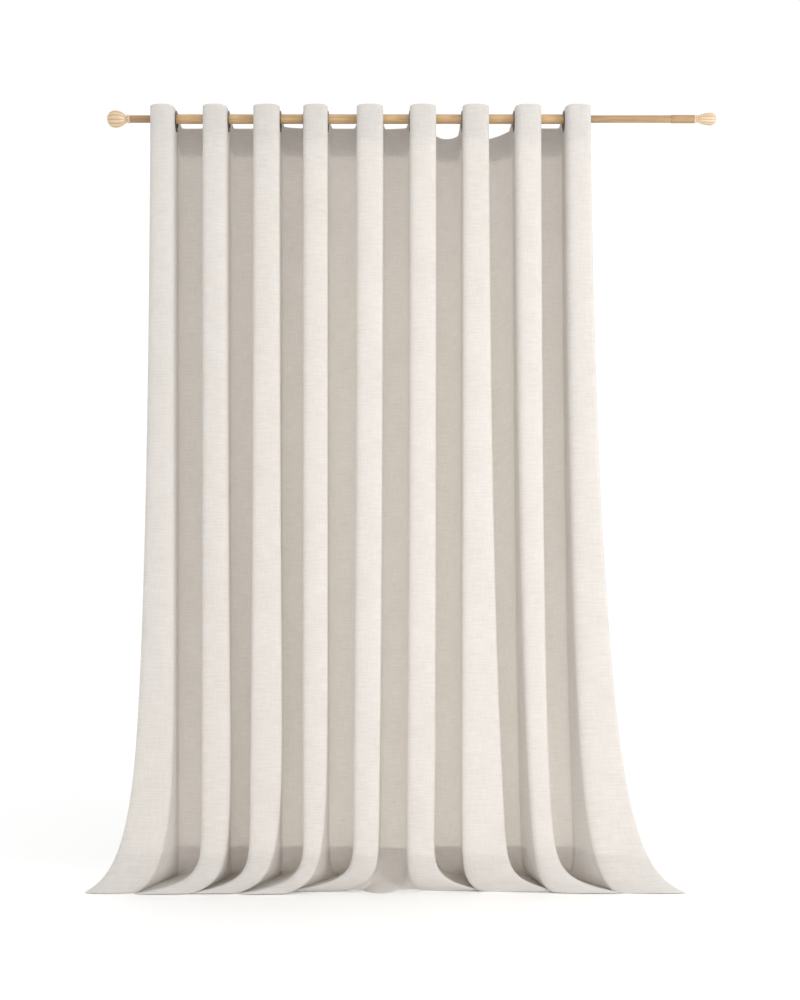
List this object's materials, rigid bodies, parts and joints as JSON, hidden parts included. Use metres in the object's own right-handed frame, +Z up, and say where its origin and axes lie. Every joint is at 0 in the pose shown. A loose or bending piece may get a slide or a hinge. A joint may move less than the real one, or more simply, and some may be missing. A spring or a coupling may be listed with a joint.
{
  "type": "grommet curtain panel on extending pole",
  "caption": "Wide linen-look grommet-top curtain panel in even wave folds, hung on an extending wood-effect pole with fluted turned finials.",
  "frame": {"origin": "middle of the pole's axis, where its brackets carry it", "axes": "+Z up, +X along the pole to the right seen from the room, -Y towards the room"},
  "size_m": [1.6653, 0.1842, 2.0789],
  "materials": {
    "linen_cloth": "matte slubby plain weave, warm off-white",
    "heading_buckram": "stiff white non-woven interlining",
    "eyelet_metal": "satin dark bronze",
    "wood_effect_tube": "printed light-oak effect, satin",
    "pale_turned_wood": "pale turned wood, fluted, matte",
    "nylon_bush": "natural nylon"
  },
  "bodies": {
    "pole": {"rod_outer_tube": "wood_effect_tube", "guide_bush_left": "nylon_bush", "guide_bush_right": "nylon_bush"},
    "extension_left": {"rod_inner_tube_left": "wood_effect_tube"},
    "extension_right": {"rod_inner_tube_right": "wood_effect_tube", "rod_end_sleeve": "wood_effect_tube"},
    "finial_left": {"finial_plug_left": "pale_turned_wood", "finial_knob_left": "pale_turned_wood"},
    "finial_right": {"finial_plug_right": "pale_turned_wood", "finial_knob_right": "pale_turned_wood"},
    "panel": {"panel_cloth": "linen_cloth", "heading_facing": "linen_cloth", "heading_stiffener": "heading_buckram", "bottom_hem": "linen_cloth", "side_hem_left": "linen_cloth", "side_hem_right": "linen_cloth", "grommet_front_ring_01": "eyelet_metal", "grommet_back_ring_01": "eyelet_metal"},
    "grommet_02": {"grommet_front_ring_02": "eyelet_metal", "grommet_back_ring_02": "eyelet_metal"},
    "grommet_03": {"grommet_front_ring_03": "eyelet_metal", "grommet_back_ring_03": "eyelet_metal"},
    "grommet_04": {"grommet_front_ring_04": "eyelet_metal", "grommet_back_ring_04": "eyelet_metal"},
    "grommet_05": {"grommet_front_ring_05": "eyelet_metal", "grommet_back_ring_05": "eyelet_metal"},
    "grommet_06": {"grommet_front_ring_06": "eyelet_metal", "grommet_back_ring_06": "eyelet_metal"},
    "grommet_07": {"grommet_front_ring_07": "eyelet_metal", "grommet_back_ring_07": "eyelet_metal"},
    "grommet_08": {"grommet_front_ring_08": "eyelet_metal", "grommet_back_ring_08": "eyelet_metal"},
    "grommet_09": {"grommet_front_ring_09": "eyelet_metal", "grommet_back_ring_09": "eyelet_metal"},
    "grommet_10": {"grommet_front_ring_10": "eyelet_metal", "grommet_back_ring_10": "eyelet_metal"},
    "grommet_11": {"grommet_front_ring_11": "eyelet_metal", "grommet_back_ring_11": "eyelet_metal"},
    "grommet_12": {"grommet_front_ring_12": "eyelet_metal", "grommet_back_ring_12": "eyelet_metal"},
    "grommet_13": {"grommet_front_ring_13": "eyelet_metal", "grommet_back_ring_13": "eyelet_metal"},
    "grommet_14": {"grommet_front_ring_14": "eyelet_metal", "grommet_back_ring_14": "eyelet_metal"},
    "grommet_15": {"grommet_front_ring_15": "eyelet_metal", "grommet_back_ring_15": "eyelet_metal"},
    "grommet_16": {"grommet_front_ring_16": "eyelet_metal", "grommet_back_ring_16": "eyelet_metal"},
    "grommet_17": {"grommet_front_ring_17": "eyelet_metal", "grommet_back_ring_17": "eyelet_metal"},
    "grommet_18": {"grommet_front_ring_18": "eyelet_metal", "grommet_back_ring_18": "eyelet_metal"}
  },
  "joints": [
    {"name": "left_extension_slide", "type": "slide", "parent": "pole", "child": "extension_left", "axis": [-1, 0, 0], "range_m": [-0.02, 0.35]},
    {"name": "right_extension_slide", "type": "slide", "parent": "pole", "child": "extension_right", "axis": [1, 0, 0], "range_m": [-0.12, 0.2]},
    {"name": "left_finial_pull", "type": "slide", "parent": "extension_left", "child": "finial_left", "axis": [-1, 0, 0], "range_m": [0, 0.04]},
    {"name": "right_finial_pull", "type": "slide", "parent": "extension_right", "child": "finial_right", "axis": [1, 0, 0], "range_m": [0, 0.04]},
    {"name": "panel_slide", "type": "slide", "parent": "pole", "child": "panel", "axis": [1, 0, 0], "range_m": [-0.03, 0.12]},
    {"name": "gather", "type": "slide", "parent": "panel", "child": "grommet_18", "axis": [1, 0, 0], "range_m": [-0.67, 0], "deforming": ["panel_cloth", "heading_facing", "heading_stiffener", "bottom_hem", "side_hem_left", "side_hem_right"]},
    {"name": "gather_02", "type": "slide", "parent": "panel", "child": "grommet_02", "axis": [1, 0, 0], "range_m": [-0.0369, 0]},
    {"name": "gather_03", "type": "slide", "parent": "panel", "child": "grommet_03", "axis": [1, 0, 0], "range_m": [-0.0817, 0]},
    {"name": "gather_04", "type": "slide", "parent": "panel", "child": "grommet_04", "axis": [1, 0, 0], "range_m": [-0.1177, 0]},
    {"name": "gather_05", "type": "slide", "parent": "panel", "child": "grommet_05", "axis": [1, 0, 0], "range_m": [-0.1615, 0]},
    {"name": "gather_06", "type": "slide", "parent": "panel", "child": "grommet_06", "axis": [1, 0, 0], "range_m": [-0.1975, 0]},
    {"name": "gather_07", "type": "slide", "parent": "panel", "child": "grommet_07", "axis": [1, 0, 0], "range_m": [-0.2347, 0]},
    {"name": "gather_08", "type": "slide", "parent": "panel", "child": "grommet_08", "axis": [1, 0, 0], "range_m": [-0.2707, 0]},
    {"name": "gather_09", "type": "slide", "parent": "panel", "child": "grommet_09", "axis": [1, 0, 0], "range_m": [-0.3177, 0]},
    {"name": "gather_10", "type": "slide", "parent": "panel", "child": "grommet_10", "axis": [1, 0, 0], "range_m": [-0.3537, 0]},
    {"name": "gather_11", "type": "slide", "parent": "panel", "child": "grommet_11", "axis": [1, 0, 0], "range_m": [-0.3976, 0]},
    {"name": "gather_12", "type": "slide", "parent": "panel", "child": "grommet_12", "axis": [1, 0, 0], "range_m": [-0.4335, 0]},
    {"name": "gather_13", "type": "slide", "parent": "panel", "child": "grommet_13", "axis": [1, 0, 0], "range_m": [-0.4783, 0]},
    {"name": "gather_14", "type": "slide", "parent": "panel", "child": "grommet_14", "axis": [1, 0, 0], "range_m": [-0.5142, 0]},
    {"name": "gather_15", "type": "slide", "parent": "panel", "child": "grommet_15", "axis": [1, 0, 0], "range_m": [-0.5581, 0]},
    {"name": "gather_16", "type": "slide", "parent": "panel", "child": "grommet_16", "axis": [1, 0, 0], "range_m": [-0.5941, 0]},
    {"name": "gather_17", "type": "slide", "parent": "panel", "child": "grommet_17", "axis": [1, 0, 0], "range_m": [-0.6351, 0]}
  ],
  "couplings": [
    {"joint": "gather_02", "follows": "gather", "ratio": 0.05365},
    {"joint": "gather_03", "follows": "gather", "ratio": 0.12046},
    {"joint": "gather_04", "follows": "gather", "ratio": 0.17411},
    {"joint": "gather_05", "follows": "gather", "ratio": 0.23962},
    {"joint": "gather_06", "follows": "gather", "ratio": 0.29327},
    {"joint": "gather_07", "follows": "gather", "ratio": 0.34882},
    {"joint": "gather_08", "follows": "gather", "ratio": 0.40247},
    {"joint": "gather_09", "follows": "gather", "ratio": 0.47274},
    {"joint": "gather_10", "follows": "gather", "ratio": 0.52639},
    {"joint": "gather_11", "follows": "gather", "ratio": 0.5919},
    {"joint": "gather_12", "follows": "gather", "ratio": 0.64555},
    {"joint": "gather_13", "follows": "gather", "ratio": 0.71236},
    {"joint": "gather_14", "follows": "gather", "ratio": 0.76601},
    {"joint": "gather_15", "follows": "gather", "ratio": 0.83152},
    {"joint": "gather_16", "follows": "gather", "ratio": 0.88517},
    {"joint": "gather_17", "follows": "gather", "ratio": 0.94635}
  ]
}
